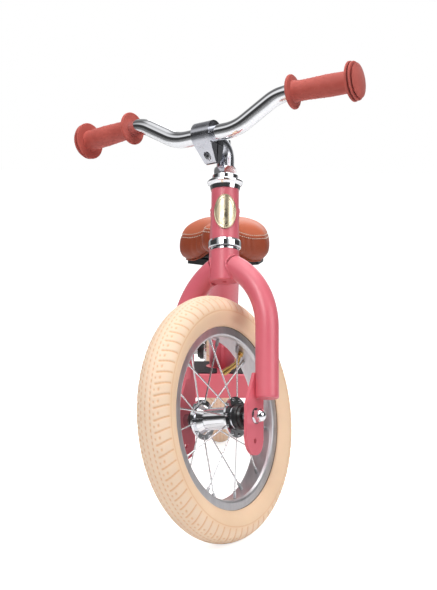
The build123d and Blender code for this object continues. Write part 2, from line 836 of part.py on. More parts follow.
with BuildPart() as seat_tube:
    with BuildSketch(seat_axis.offset(-30)):
        Circle(seat_tube_radius)
        Circle(post_radius + running_gap, mode=Mode.SUBTRACT)
    extrude(amount=seat_tube_length + 30)
    with BuildSketch(Plane.XY.offset(keel_top)):
        with Locations((0, seat_foot_y)):
            Rectangle(200, 200)
    extrude(amount=-60, mode=Mode.SUBTRACT)
    with BuildSketch(Plane(origin=seat_axis.origin + seat_axis.z_dir * (seat_tube_length - 22),
                           x_dir=(1, 0, 0), z_dir=-seat_axis.y_dir)):
        with Locations((0, 15)):
            Rectangle(2.4, 30)
    extrude(amount=-30, mode=Mode.SUBTRACT)
save(seat_tube, "seat_tube")

collar = seat_axis.offset(seat_tube_length - 13)
with BuildPart() as seat_clamp:
    with BuildSketch(collar):
        Circle(19.5)
        with Locations((0, 21)):
            Rectangle(17, 13)
        Circle(seat_tube_radius, mode=Mode.SUBTRACT)
        with Locations((0, 22)):
            Rectangle(2.4, 20, mode=Mode.SUBTRACT)
    extrude(amount=12)
    bolt_side = collar.offset(6)
    clamp_bolt_start = bolt_side.from_local_coords(Vector(-20, 23.2, 0))
    clamp_bolt_end = bolt_side.from_local_coords(Vector(20, 23.2, 0))
    rod(clamp_bolt_start, clamp_bolt_end, 2.6, Mode.SUBTRACT)
save(seat_clamp, "seat_clamp")

with BuildPart() as seat_clamp_bolt:
    across = Plane(origin=bolt_side.from_local_coords(Vector(8.5, 23.2, 0)), z_dir=(1, 0, 0))
    with BuildSketch(across.offset(-17)):
        Circle(2.5)
    extrude(amount=17)
    with BuildSketch(across):
        Circle(4.3)
    extrude(amount=4.6)
    with BuildSketch(across.offset(1.6)):
        RegularPolygon(2.4, 6)
    extrude(amount=3.0, mode=Mode.SUBTRACT)
    with BuildSketch(across.offset(-21)):
        RegularPolygon(4.6, 6)
    extrude(amount=4.0)
save(seat_clamp_bolt, "seat_clamp_bolt")


stay_end = -24.0
stay_height = wheel_radius


def make_stay(side):
    """A rear stay: under the platform's edge, out past the tyre, back to the dropout."""
    start = (side * 42.8, platform_front + sheet + 2)
    with BuildPart() as stay:
        with BuildLine(Plane.XY.offset(stay_height)) as route:
            FilletPolyline(start, (side * 42.8, -225), (side * 60.5, -105), (side * 60.5, stay_end),
                           radius=150)
        with BuildSketch(Plane(origin=(*start, stay_height), x_dir=(1, 0, 0), z_dir=(0, 1, 0))):
            Circle(9.0)
            Circle(7.4, mode=Mode.SUBTRACT)
        sweep(path=route.line)
        with BuildSketch(Plane(origin=(side * 60.5, stay_end - 3, stay_height), x_dir=(1, 0, 0),
                               z_dir=(0, 1, 0))):
            Circle(9.0)
        extrude(amount=3.0)
        fillet(stay.faces().sort_by(Axis.Y)[-1].edges(), radius=2.0)
        with BuildSketch(Plane.XY.offset(stay_height - 20)):
            with Locations((side * (dropout_outer - 10), -44)):
                Rectangle(20, 50)
        extrude(amount=40, mode=Mode.SUBTRACT)
    return stay


save(make_stay(1), "rear_stay_left")
save(make_stay(-1), "rear_stay_right")

with BuildPart() as rear_dropouts:
    for side in (-1, 1):
        low = min(side * dropout_inner, side * dropout_outer)
        with BuildSketch(Plane(origin=(low, 0, wheel_radius), x_dir=(0, 1, 0), z_dir=(1, 0, 0))):
            Circle(17)
            with Locations((-60, 0)):
                Circle(7.5)
            make_hull()
            Circle(axle_radius + 0.1, mode=Mode.SUBTRACT)
        extrude(amount=dropout_outer - dropout_inner)
save(rear_dropouts, "rear_dropouts")

# ---- seat ---------------------------------------------------------------------------
post_top = 297.0
plate_thickness = 4.0
base_low = post_top + plate_thickness
base_high = 310.0
saddle_nose = -270.0
saddle_back = -24.0
post_head_y = seat_foot_y + (post_top - keel_top) / math.tan(math.radians(seat_angle))
askew = math.radians(saddle_turn)
saddle_floor = Plane(
    origin=(0, post_head_y, 0),
    x_dir=(math.cos(askew), math.sin(askew), 0),
    z_dir=(0, 0, 1),
)

with BuildPart() as seat_post:
    with BuildSketch(seat_axis.offset(8)):
        Circle(post_radius)
        Circle(post_radius - 1.8, mode=Mode.SUBTRACT)
    extrude(amount=post_length + 20)
    with BuildSketch(Plane.XY.offset(post_top)):
        with Locations((0, post_head_y)):
            Rectangle(120, 120)
    extrude(amount=80, mode=Mode.SUBTRACT)
save(seat_post, "seat_post")

bolt_spots = [(x, y) for x in (-16, 16) for y in (-22, 22)]
with BuildPart() as saddle_clamp:
    with BuildSketch(saddle_floor.offset(post_top)):
        RectangleRounded(46, 60, 8)
        with Locations(*bolt_spots):
            Circle(2.6, mode=Mode.SUBTRACT)
    extrude(amount=plate_thickness)
save(saddle_clamp, "saddle_clamp_plate")

with BuildPart() as saddle_bolts:
    for spot in bolt_spots:
        with BuildSketch(saddle_floor.offset(post_top - 3)):
            with Locations(spot):
                Circle(4.3)
                RegularPolygon(2.4, 6, mode=Mode.SUBTRACT)
        extrude(amount=3)
        with BuildSketch(saddle_floor.offset(post_top - 1)):
            with Locations(spot):
                Circle(2.5)
        extrude(amount=9)
save(saddle_bolts, "saddle_bolts")


def saddle_outline(shrink):
    """The saddle seen from above: a narrow nose that flares into two wings."""
    corners = [(17, saddle_nose), (20, -185), (63, -140), (67, -62), (38, saddle_back)]
    right = [(x, y - post_head_y) for x, y in corners]
    left = [(-x, y) for x, y in reversed(right)]
    with BuildSketch() as outline:
        Polygon(*right, *left, align=None)
        for corner, radius in zip(right, (15, 34, 22, 26, 24)):
            pair = [vertex for vertex in outline.vertices() if abs(vertex.Y - corner[1]) < 0.01]
            fillet(pair, radius=radius)
        if shrink > 0:
            offset(amount=-shrink, mode=Mode.REPLACE)
    return outline.sketch


with BuildPart() as saddle_cover:
    with BuildSketch(saddle_floor.offset(saddle_bottom)):
        add(saddle_outline(0))
    extrude(amount=saddle_top - saddle_bottom)
    fillet(saddle_cover.faces().sort_by(Axis.Z)[-1].edges(), radius=12)
    fillet(saddle_cover.faces().sort_by(Axis.Z)[0].edges(), radius=4)
    with BuildSketch(saddle_floor.offset(saddle_bottom)):
        add(saddle_outline(9))
    extrude(amount=base_high - saddle_bottom, mode=Mode.SUBTRACT)
save(saddle_cover, "saddle_cover")

with BuildPart() as saddle_base:
    with BuildSketch(saddle_floor.offset(base_low)):
        add(saddle_outline(9.4))
        with Locations(*bolt_spots):
            Circle(2.6, mode=Mode.SUBTRACT)
    extrude(amount=base_high - base_low)
save(saddle_base, "saddle_base")
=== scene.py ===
"""Looks for the balance bike: tyres with tread, padded saddle, rubber grips, paint and chrome."""
import json
import math

import bmesh
import bpy
import numpy as np
from mathutils import Matrix, Vector
from mathutils.bvhtree import BVHTree


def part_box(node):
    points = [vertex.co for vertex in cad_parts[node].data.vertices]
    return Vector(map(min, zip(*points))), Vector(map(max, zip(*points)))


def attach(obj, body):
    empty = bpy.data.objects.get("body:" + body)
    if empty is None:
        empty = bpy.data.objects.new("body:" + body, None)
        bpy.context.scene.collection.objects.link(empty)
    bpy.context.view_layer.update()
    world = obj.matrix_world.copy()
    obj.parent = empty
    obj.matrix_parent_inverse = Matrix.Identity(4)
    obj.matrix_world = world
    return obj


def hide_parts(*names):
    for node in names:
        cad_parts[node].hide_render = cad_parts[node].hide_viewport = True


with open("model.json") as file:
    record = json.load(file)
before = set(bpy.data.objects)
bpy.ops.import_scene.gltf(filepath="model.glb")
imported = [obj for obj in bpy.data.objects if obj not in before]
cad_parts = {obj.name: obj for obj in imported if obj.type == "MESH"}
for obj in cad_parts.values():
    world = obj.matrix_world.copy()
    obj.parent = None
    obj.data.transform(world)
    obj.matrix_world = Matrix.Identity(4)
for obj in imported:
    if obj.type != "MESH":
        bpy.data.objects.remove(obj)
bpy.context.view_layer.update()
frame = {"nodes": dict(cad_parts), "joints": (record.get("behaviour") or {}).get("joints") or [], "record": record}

nodes = frame["nodes"]
joints = {joint["name"]: joint for joint in frame["joints"]}
MM = 0.001


# ---- frames of the moving groups ----------------------------------------------------
def joint_axis(name):
    """The direction of a joint's axis."""
    return Vector(joints[name]["axis"]).normalized()


steer_up = joint_axis("steering")
front_left = joint_axis("front_wheel_spin")
front_centre = Vector(joints["front_wheel_spin"]["pos_m"])
rear_left = joint_axis("rear_wheel_spin")
rear_centre = Vector(joints["rear_wheel_spin"]["pos_m"])
steer_foot = Vector(joints["steering"]["pos_m"])
steer_back = steer_up.cross(front_left).normalized()
lean = math.asin(steer_up.y)


def steer_point(x, y, up):
    """A point in the turned steering frame, in millimetres."""
    return steer_foot + (front_left * x + steer_back * y + steer_up * up) * MM


# ---- material helpers ---------------------------------------------------------------
def new_material(name, colour, roughness, metallic=0.0):
    """A principled material and a few handles to build on."""
    material = bpy.data.materials.new(name)
    material.use_nodes = True
    tree = material.node_tree
    shader = tree.nodes["Principled BSDF"]
    shader.inputs["Base Color"].default_value = (*colour, 1)
    shader.inputs["Roughness"].default_value = roughness
    shader.inputs["Metallic"].default_value = metallic
    return material, tree, shader


def noise(tree, scale, detail=3.0, rough=0.5, stretch=(1, 1, 1)):
    """Noise in the object's own place, in metres."""
    place = tree.nodes.new("ShaderNodeTexCoord")
    mapping = tree.nodes.new("ShaderNodeMapping")
    mapping.inputs["Scale"].default_value = stretch
    texture = tree.nodes.new("ShaderNodeTexNoise")
    texture.inputs["Scale"].default_value = scale
    texture.inputs["Detail"].default_value = detail
    texture.inputs["Roughness"].default_value = rough
    tree.links.new(place.outputs["Object"], mapping.inputs["Vector"])
    tree.links.new(mapping.outputs["Vector"], texture.inputs["Vector"])
    return texture.outputs["Fac"]


def cells(tree, scale, feature="F1"):
    place = tree.nodes.new("ShaderNodeTexCoord")
    texture = tree.nodes.new("ShaderNodeTexVoronoi")
    texture.feature = feature
    texture.inputs["Scale"].default_value = scale
    tree.links.new(place.outputs["Object"], texture.inputs["Vector"])
    return texture.outputs["Distance"]


def ramp(tree, value, stops):
    """A colour or value ramp from (place, colour) stops."""
    node = tree.nodes.new("ShaderNodeValToRGB")
    elements = node.color_ramp.elements
    while len(elements) > len(stops):
        elements.remove(elements[-1])
    while len(elements) < len(stops):
        elements.new(1.0)
    for element, (place, colour) in zip(elements, stops):
        element.position = place
        element.color = (*colour, 1) if hasattr(colour, "__len__") else (colour, colour, colour, 1)
    tree.links.new(value, node.inputs["Fac"])
    return node.outputs["Color"]


def mix(tree, factor, first, second):
    """A blend of two colours, or of whatever sockets stand for them."""
    node = tree.nodes.new("ShaderNodeMix")
    node.data_type = "RGBA"
    for socket, value in ((node.inputs[0], factor), (node.inputs[6], first), (node.inputs[7], second)):
        if isinstance(value, bpy.types.NodeSocket):
            tree.links.new(value, socket)
        elif hasattr(value, "__len__"):
            socket.default_value = (*value, 1)
        else:
            socket.default_value = value
    return node.outputs[2]


def bump(tree, shader, height, distance, strength=1.0):
    """Add a bump on top of whatever bump the shader already has."""
    node = tree.nodes.new("ShaderNodeBump")
    node.inputs["Strength"].default_value = strength
    node.inputs["Distance"].default_value = distance
    tree.links.new(height, node.inputs["Height"])
    normal = shader.inputs["Normal"]
    if normal.is_linked:
        tree.links.new(normal.links[0].from_socket, node.inputs["Normal"])
    tree.links.new(node.outputs["Normal"], normal)


def attribute(tree, name):
    node = tree.nodes.new("ShaderNodeAttribute")
    node.attribute_name = name
    return node.outputs["Fac"]


# ---- materials ----------------------------------------------------------------------
def pink_paint():
    """Satin powder coat: faint orange peel and a slightly uneven tone."""
    material, tree, shader = new_material("pink_powder_coat", (0.72, 0.145, 0.19), 0.38)
    tone = ramp(tree, noise(tree, 22), ((0.3, (0.70, 0.135, 0.18)), (0.7, (0.75, 0.16, 0.205))))
    tree.links.new(tone, shader.inputs["Base Color"])
    grain = ramp(tree, noise(tree, 420, 2), ((0.35, 0.34), (0.65, 0.44)))
    tree.links.new(grain, shader.inputs["Roughness"])
    shader.inputs["Coat Weight"].default_value = 0.25
    shader.inputs["Coat Roughness"].default_value = 0.18
    bump(tree, shader, noise(tree, 900, 1), 0.00006)
    return material


def chrome(name="chrome", colour=(0.83, 0.84, 0.87), rough=0.07):
    """Polished plate with the faintest haze and hairline wipe marks."""
    material, tree, shader = new_material(name, colour, rough, 1.0)
    haze = ramp(tree, noise(tree, 60, 5), ((0.4, rough * 0.7), (0.75, rough * 1.9)))
    tree.links.new(haze, shader.inputs["Roughness"])
    bump(tree, shader, noise(tree, 45, 2), 0.00003)
    return material


def worn_metal(name, colour, rough, stretch=(1, 1, 1), scale=260):
    """Turned or plated steel with fine machining marks."""
    material, tree, shader = new_material(name, colour, rough, 1.0)
    darker = tuple(channel * 0.82 for channel in colour)
    marks = noise(tree, scale, 4, 0.6, stretch)
    tree.links.new(ramp(tree, marks, ((0.35, darker), (0.65, colour))), shader.inputs["Base Color"])
    tree.links.new(ramp(tree, marks, ((0.3, rough * 0.8), (0.7, rough * 1.3))), shader.inputs["Roughness"])
    bump(tree, shader, marks, 0.00003)
    return material


def rim_alloy():
    """Silver alloy: soft satin with a faint brushed grain."""
    material, tree, shader = new_material("silver_alloy", (0.62, 0.61, 0.63), 0.34, 0.85)
    grain = noise(tree, 300, 3, 0.6, (1, 0.15, 0.15))
    tree.links.new(ramp(tree, grain, ((0.3, (0.57, 0.555, 0.58)), (0.7, (0.66, 0.65, 0.67)))),
                   shader.inputs["Base Color"])
    tree.links.new(ramp(tree, grain, ((0.3, 0.28), (0.7, 0.42))), shader.inputs["Roughness"])
    bump(tree, shader, grain, 0.00003)
    return material


def brass():
    """Brass with patches of darker tarnish."""
    material, tree, shader = new_material("brass", (0.72, 0.47, 0.16), 0.26, 1.0)
    tarnish = noise(tree, 70, 3)
    tree.links.new(ramp(tree, tarnish, ((0.3, (0.55, 0.33, 0.10)), (0.65, (0.76, 0.52, 0.20)))),
                   shader.inputs["Base Color"])
    return material


def black_plastic():
    """Moulded black plastic with a fine grain."""
    material, tree, shader = new_material("black_plastic", (0.018, 0.018, 0.02), 0.32)
    bump(tree, shader, noise(tree, 1500, 2), 0.00004)
    tree.links.new(ramp(tree, noise(tree, 90), ((0.3, 0.24), (0.7, 0.42))), shader.inputs["Roughness"])
    return material


def grip_pad_rubber():
    """Black grit-like foot pad."""
    material, tree, shader = new_material("black_grip_pad", (0.028, 0.028, 0.032), 0.85)
    grit = cells(tree, 900)
    tree.links.new(ramp(tree, grit, ((0.1, (0.07, 0.07, 0.078)), (0.5, (0.02, 0.02, 0.024)))),
                   shader.inputs["Base Color"])
    bump(tree, shader, grit, 0.0004, 0.8)
    return material


def cream_rubber():
    """Cream tyre rubber; the grooves that the mesh marks are painted darker and warmer as painted shade, and the
    tread crown is painted paler as painted light.
    """
    material, tree, shader = new_material("cream_rubber", (0.86, 0.62, 0.40), 0.62)
    patch = noise(tree, 16, 4)
    side = ramp(tree, patch, ((0.3, (0.88, 0.62, 0.415)), (0.7, (0.94, 0.68, 0.465))))
    crown = ramp(tree, patch, ((0.3, (0.87, 0.65, 0.475)), (0.7, (0.92, 0.705, 0.53))))
    # Painted light: the tread crown is painted paler than the sidewalls, where light falls on it.
    body = mix(tree, attribute(tree, "tread"), side, crown)
    # Painted shade: the groove mask darkens and warms the colour in the grooves and along the sidewall edge line.
    colour = mix(tree, attribute(tree, "groove"), body, (0.78, 0.43, 0.21))
    tree.links.new(colour, shader.inputs["Base Color"])
    tree.links.new(ramp(tree, noise(tree, 200), ((0.3, 0.52), (0.7, 0.68))), shader.inputs["Roughness"])
    shader.inputs["Subsurface Weight"].default_value = 0.06
    shader.inputs["Subsurface Radius"].default_value = (0.004, 0.002, 0.001)
    bump(tree, shader, noise(tree, 1300, 2), 0.00008)
    return material


def grip_rubber():
    """Brick-red rubber with a dusty matte skin."""
    material, tree, shader = new_material("red_rubber", (0.50, 0.105, 0.075), 0.62)
    tree.links.new(ramp(tree, noise(tree, 60), ((0.3, (0.46, 0.074, 0.054)), (0.7, (0.54, 0.097, 0.073)))),
                   shader.inputs["Base Color"])
    shader.inputs["Sheen Weight"].default_value = 0.14
    shader.inputs["Sheen Roughness"].default_value = 0.5
    bump(tree, shader, noise(tree, 1800, 2), 0.00005)
    return material


def saddle_hide():
    """Leatherette with a fine pebbled grain: a top panel painted lighter as painted light from above, and a deeper
    brown skirt darkened further by painted shade.
    """
    material, tree, shader = new_material("saddle_hide", (0.60, 0.15, 0.07), 0.46)
    blotch = noise(tree, 14, 4, 0.6)
    # Painted light and shade: the top panel is painted lighter where light falls from above; the skirt is a deeper
    # brown of its own, darkened further by painted shade.
    top = ramp(tree, blotch, ((0.3, (0.55, 0.135, 0.062)), (0.7, (0.62, 0.165, 0.082))))
    skirt = ramp(tree, blotch, ((0.3, (0.29, 0.052, 0.018)), (0.7, (0.36, 0.070, 0.026))))
    tree.links.new(mix(tree, attribute(tree, "skirt"), top, skirt), shader.inputs["Base Color"])
    tree.links.new(ramp(tree, noise(tree, 500, 3), ((0.3, 0.38), (0.7, 0.54))), shader.inputs["Roughness"])
    bump(tree, shader, cells(tree, 620, "F1"), 0.0003, 0.35)
    bump(tree, shader, noise(tree, 90, 3), 0.0004, 0.3)
    return material


def thread_material():
    """Pale sewing thread with a tight twist."""
    material, tree, shader = new_material("stitch_thread", (0.80, 0.72, 0.62), 0.7)
    twist = tree.nodes.new("ShaderNodeTexWave")
    place = tree.nodes.new("ShaderNodeTexCoord")
    twist.inputs["Scale"].default_value = 900
    tree.links.new(place.outputs["Object"], twist.inputs["Vector"])
    tree.links.new(ramp(tree, twist.outputs["Fac"], ((0.2, (0.70, 0.62, 0.52)), (0.8, (0.86, 0.79, 0.69)))),
                   shader.inputs["Base Color"])
    bump(tree, shader, twist.outputs["Fac"], 0.0001)
    return material


pink = pink_paint()
stem_alloy = chrome("stem_alloy", (0.56, 0.57, 0.62), 0.2)
bright = chrome()
steel = worn_metal("zinc_steel", (0.58, 0.59, 0.61), 0.30)
wire = worn_metal("bright_wire", (0.80, 0.81, 0.83), 0.18)
bearing = worn_metal("bearing_steel", (0.64, 0.64, 0.66), 0.16)
alloy = rim_alloy()
yellow = brass()
black = black_plastic()
pad_black = grip_pad_rubber()
cream = cream_rubber()
red = grip_rubber()
hide = saddle_hide()
thread = thread_material()
badge_metal = chrome("badge_metal", (0.62, 0.54, 0.38), 0.3)

by_slot = {
    "pink_powder_coat": pink,
    "cream_rubber": cream,
    "butyl_rubber": black,
    "silver_alloy": alloy,
    "bright_wire": wire,
    "brass": yellow,
    "chrome": bright,
    "black_plastic": black,
    "bearing_steel": bearing,
    "zinc_steel": steel,
    "badge_metal": badge_metal,
    "black_rubber": pad_black,
    "red_rubber": red,
    "tan_leatherette": hide,
}
for part in frame["record"]["subparts"]:
    mesh = nodes[part["node"]].data
    mesh.materials.clear()
    mesh.materials.append(stem_alloy if part["node"] == "stem" else by_slot[part["material_slot"]])


# ---- mesh helpers -------------------------------------------------------------------
def make_piece(name, points, faces, material, body, smooth=True):
    """A mesh piece that rides on a body and takes the material it is given."""
    mesh = bpy.data.meshes.new(name)
    mesh.from_pydata([tuple(point) for point in points], [], faces)
    mesh.materials.append(material)
    if smooth:
        mesh.polygons.foreach_set("use_smooth", [True] * len(mesh.polygons))
    piece = bpy.data.objects.new(name, mesh)
    bpy.context.scene.collection.objects.link(piece)
    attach(piece, body)
    return piece


def grid_faces(rows, columns, close_rows=True, close_columns=True):
    """Quads over a grid of points stored row by row."""
    faces = []
    for row in range(rows if close_rows else rows - 1):
        for column in range(columns if close_columns else columns - 1):
            after = (row + 1) % rows
            beside = (column + 1) % columns
            faces.append((row * columns + column, row * columns + beside,
                          after * columns + beside, after * columns + column))
    return faces


def set_attribute(piece, name, values):
    """Store one number for each point, which a material can read."""
    layer = piece.data.attributes.new(name, "FLOAT", "POINT")
    layer.data.foreach_set("value", np.asarray(values, dtype=np.float32))


def tube_points(path, radius, sides=10):
    """Rings of points round a closed path."""
    rings = []
    count = len(path)
    for index, point in enumerate(path):
        ahead = path[(index + 1) % count]
        behind = path[index - 1]
        way = (ahead - behind).normalized()
        across = way.cross(Vector((0, 0, 1))).normalized()
        up = across.cross(way)
        for side in range(sides):
            angle = 2 * math.pi * side / sides
            rings.append(point + (across * math.cos(angle) + up * math.sin(angle)) * radius)
    return rings


# ---- tyres --------------------------------------------------------------------------
TYRE_CIRCLE = 127.5
TYRE_SECTION = 22.5
TYRE_WALL = 3.2
GROOVE_DEPTH = 0.85
INNER_STEP = 15
TREAD_PITCHES = 66
STEPS_PER_PITCH = 12
BEAD_ANGLE = 138.0
SECTION = np.radians(np.concatenate([
    np.linspace(-BEAD_ANGLE, -88, 8), np.linspace(-86, 86, 75), np.linspace(88, BEAD_ANGLE, 8)]))


def smoothstep(edge0, edge1, value):
    """From nought at one edge to one at the other, without a corner."""
    place = np.clip((value - edge0) / (edge1 - edge0), 0, 1)
    return place * place * (3 - 2 * place)


def band(value, centre, half_width, soft):
    """One inside a band about the centre, falling to nought at its soft edges."""
    return 1 - smoothstep(half_width - soft, half_width + soft, np.abs(value - centre))


def make_tyre(end, centre, left, body):
    """A tyre with curved shoulder grooves, dashed centre lines and a bead line."""
    around = TREAD_PITCHES * STEPS_PER_PITCH
    back = Vector((0, 1, 0)) if end == "rear" else (
        steer_back * math.cos(lean) + steer_up * math.sin(lean))
    up = left.cross(back)
    turn, section = np.meshgrid(np.arange(around) / around, SECTION, indexing="ij")
    degrees = np.degrees(section)
    side = np.abs(degrees)
    pitch = turn * TREAD_PITCHES + np.where(degrees > 0, 0.5, 0.0)
    skew = -0.36 * smoothstep(18, 78, side)
    phase = np.abs((pitch - skew) % 1 - 0.5)
    shoulder = smoothstep(24, 28, side) * (1 - smoothstep(76, 80, side))
    lateral = band(phase, 0.0, 0.07, 0.05) * shoulder
    dash = band((pitch * 2) % 1, 0.5, 0.30, 0.08)
    lines = band(side, 16, 1.7, 1.2) * dash + band(side, 0.0, 1.7, 1.2) * band(
        (pitch * 2 + 0.5) % 1, 0.5, 0.30, 0.08)
    between = (pitch - skew + 0.5) % 1
    dots = band(side, 40, 2.6, 1.4) * band(between, 0.5, 0.12, 0.05)
    dots += band(side, 27, 2.0, 1.2) * band(between, 0.5, 0.09, 0.05)
    edge = 0.7 * band(side, 83, 1.2, 0.9)
    groove = np.clip(0.9 * lateral + lines + 0.8 * dots + edge, 0, 1)
    bead = band(side, 118, 3.5, 2.5)
    radius = TYRE_SECTION - GROOVE_DEPTH * groove + 0.3 * bead
    reach = TYRE_CIRCLE + radius * np.cos(section)
    across = radius * np.sin(section)
    angle = 2 * math.pi * turn
    basis = np.array([list(back), list(up), list(left)])
    local = np.stack([reach * np.cos(angle), reach * np.sin(angle), across], axis=-1)
    points = local.reshape(-1, 3) @ basis * MM + np.array(centre)
    inner_reach = TYRE_CIRCLE + (TYRE_SECTION - TYRE_WALL) * np.cos(section[:, ::-1])
    inner_across = (TYRE_SECTION - TYRE_WALL) * np.sin(section[:, ::-1])
    inner = np.stack([inner_reach * np.cos(angle), inner_reach * np.sin(angle), inner_across], axis=-1)
    inner = inner[:, ::INNER_STEP]
    inner_points = inner.reshape(-1, 3) @ basis * MM + np.array(centre)
    total = len(SECTION) + inner.shape[1]
    stacked = np.concatenate([points.reshape(around, len(SECTION), 3),
                              inner_points.reshape(around, -1, 3)], axis=1)
    tyre = make_piece(f"{end}_tyre_tread", stacked.reshape(-1, 3), grid_faces(around, total),
                      cream, body)
    pad = np.zeros((around, total - len(SECTION)))
    # The crown mask for painted light: the tread crown is painted paler.
    tread = 1 - smoothstep(62, 84, side)
    # The groove attribute paints shade into the grooves.
    set_attribute(tyre, "groove", np.concatenate([groove, pad], axis=1).ravel())
    set_attribute(tyre, "tread", np.concatenate([tread, pad], axis=1).ravel())
    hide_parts(f"{end}_tyre")


make_tyre("front", front_centre, front_left, "front_wheel")
make_tyre("rear", rear_centre, rear_left, "rear_wheel")

# ---- saddle -------------------------------------------------------------------------
NOSE_Y = -268.0
TAIL_Y = -25.0
WING_HALF = 64.8
POST_Y = -146.7
SADDLE_TURN = math.radians(-6.0)
OUTLINE_COUNT = 220
RINGS = 16
SKIRT = 12
VOXEL = 4.0
CLOTH_FRAMES = 20
MOST_MOVED = 2.5
HEM_HELD = 5
PIPING_INSET = 8.6
PAN_PROFILE = ((0, 10.4), (0.5, 9.9), (1, 9.6), (1, 12.0), (0, 12.8))    # share of height, inset


def seat_spot(x, y, z):
    """A point on the saddle, which stands a little askew on its post."""
    turned = Matrix.Rotation(SADDLE_TURN, 3, "Z") @ Vector((x, y - POST_Y, 0))
    return Vector((turned.x, turned.y + POST_Y, z)) * MM


def saddle_y(point):
    """The place along the saddle of a point in metres."""
    back = Matrix.Rotation(-SADDLE_TURN, 3, "Z") @ Vector((point.x / MM, point.y / MM - POST_Y, 0))
    return back.y + POST_Y


def half_width(y):
    """Half the saddle's width along its length, in millimetres."""
    nose = 17.0 + 3.5 * smoothstep(NOSE_Y, -200, y)
    wing = (WING_HALF - 20.5) * smoothstep(-190, -128, y)
    return nose + wing - 3.0 * smoothstep(-90, -40, y)


def even_steps(points, count):
    """The same closed line with evenly spaced points."""
    line = np.array(points + [points[0]])
    gaps = np.hypot(*np.diff(line, axis=0).T)
    travelled = np.concatenate([[0], np.cumsum(gaps)])
    wanted = np.linspace(0, travelled[-1], count, endpoint=False)
    return np.stack([np.interp(wanted, travelled, line[:, axis]) for axis in (0, 1)], axis=1)


def saddle_outline(count):
    """Points round the saddle's edge: rounded nose and tail, flared wings."""
    points = []
    for step in range(count * 2):
        angle = math.pi * step / count
        y = NOSE_Y + (TAIL_Y - NOSE_Y) * (0.5 - 0.5 * math.cos(angle))
        ends = math.sqrt(max(0.0, 1 - max(0.0, (NOSE_Y + 18 - y) / 18) ** 2))
        ends *= math.sqrt(max(0.0, 1 - max(0.0, (y - TAIL_Y + 52) / 52) ** 2.4))
        sign = 1 if angle < math.pi else -1
        points.append((sign * float(half_width(y)) * ends, y))
    return even_steps(points, count)


def outward(line):
    """Directions along and out of a closed line."""
    ways = np.roll(line, -1, axis=0) - np.roll(line, 1, axis=0)
    ways /= np.linalg.norm(ways, axis=1)[:, None]
    outs = np.stack([ways[:, 1], -ways[:, 0]], axis=1)
    if (outs[:, 0] * line[:, 0]).sum() < 0:
        outs = -outs
    return ways, outs


def seam_height(y):
    """Where the top panel is sewn to the skirt."""
    return 343.5 + 16 * smoothstep(-150, -205, y) + 5 * smoothstep(-100, -30, y)


def crown_height(y):
    """The height of the top panel's ridge."""
    return 367.0 + 4.0 * smoothstep(-235, -120, y) - 2.0 * smoothstep(-70, -30, y)


def hem_height(y):
    """The skirt's lower edge, which rises towards the nose."""
    return 306.5 + 20 * smoothstep(-150, -192, y) + 3 * smoothstep(-90, -30, y)


def tuck(drop):
    """How far the skirt stands out, or in, at this share of its drop."""
    swell = 2.6 * math.sin(math.pi * min(drop / 0.85, 1))
    return swell - 9.0 * max(0.0, (drop - 0.72) / 0.28) ** 2.0


def relaxed(obj):
    """Work the object's modifiers into its mesh."""
    graph = bpy.context.evaluated_depsgraph_get()
    mesh = bpy.data.meshes.new_from_object(obj.evaluated_get(graph))
    obj.modifiers.clear()
    obj.data = mesh


def puff(obj):
    """Let the cover settle like stuffed cloth, held along its hem, moving MOST_MOVED at most."""
    remesh = obj.modifiers.new("remesh", "REMESH")
    remesh.mode = "VOXEL"
    remesh.voxel_size = VOXEL * MM
    relaxed(obj)
    before = [vertex.co.copy() for vertex in obj.data.vertices]
    hem = obj.vertex_groups.new(name="hem")
    hem.add([v.index for v in obj.data.vertices
             if v.co.z < (float(hem_height(saddle_y(v.co))) + HEM_HELD) * MM], 1.0, "REPLACE")
    cloth = obj.modifiers.new("cloth", "CLOTH")
    cloth.settings.quality = 6
    cloth.settings.mass = 0.2
    cloth.settings.tension_stiffness = 60
    cloth.settings.compression_stiffness = 60
    cloth.settings.bending_stiffness = 4
    cloth.settings.use_pressure = True
    cloth.settings.uniform_pressure_force = 4
    cloth.settings.vertex_group_mass = "hem"
    cloth.settings.effector_weights.gravity = 0
    cloth.point_cache.frame_start = 1
    cloth.point_cache.frame_end = CLOTH_FRAMES
    scene = bpy.context.scene
    for frame_number in range(1, CLOTH_FRAMES + 1):
        scene.frame_set(frame_number)
    relaxed(obj)
    for vertex, start in zip(obj.data.vertices, before):
        moved = vertex.co - start
        if moved.length > MOST_MOVED * MM:
            vertex.co = start + moved.normalized() * MOST_MOVED * MM
    scene.frame_set(1)
    smoother = obj.modifiers.new("fine", "SUBSURF")
    smoother.levels = 1
    smoother.render_levels = 1
    relaxed(obj)


def gather(obj):
    """Press in the seam and the gathers where the nose meets the wings."""
    normals = [vertex.normal.copy() for vertex in obj.data.vertices]
    for vertex, normal in zip(obj.data.vertices, normals):
        y = saddle_y(vertex.co)
        seam = float(seam_height(y))
        height = vertex.co.z / MM
        press = 0.9 * math.exp(-((height - seam) / 1.6) ** 2)
        if height < seam:
            low = float(hem_height(y))
            share = min(max((seam - height) / (seam - low), 0), 1)
            near = math.exp(-((y + 172) / 13) ** 2)
            press += 1.5 * near * (0.5 + 0.5 * math.cos(y * math.tau / 7.5)) * math.sin(math.pi * share)
        vertex.co -= normal * press * MM


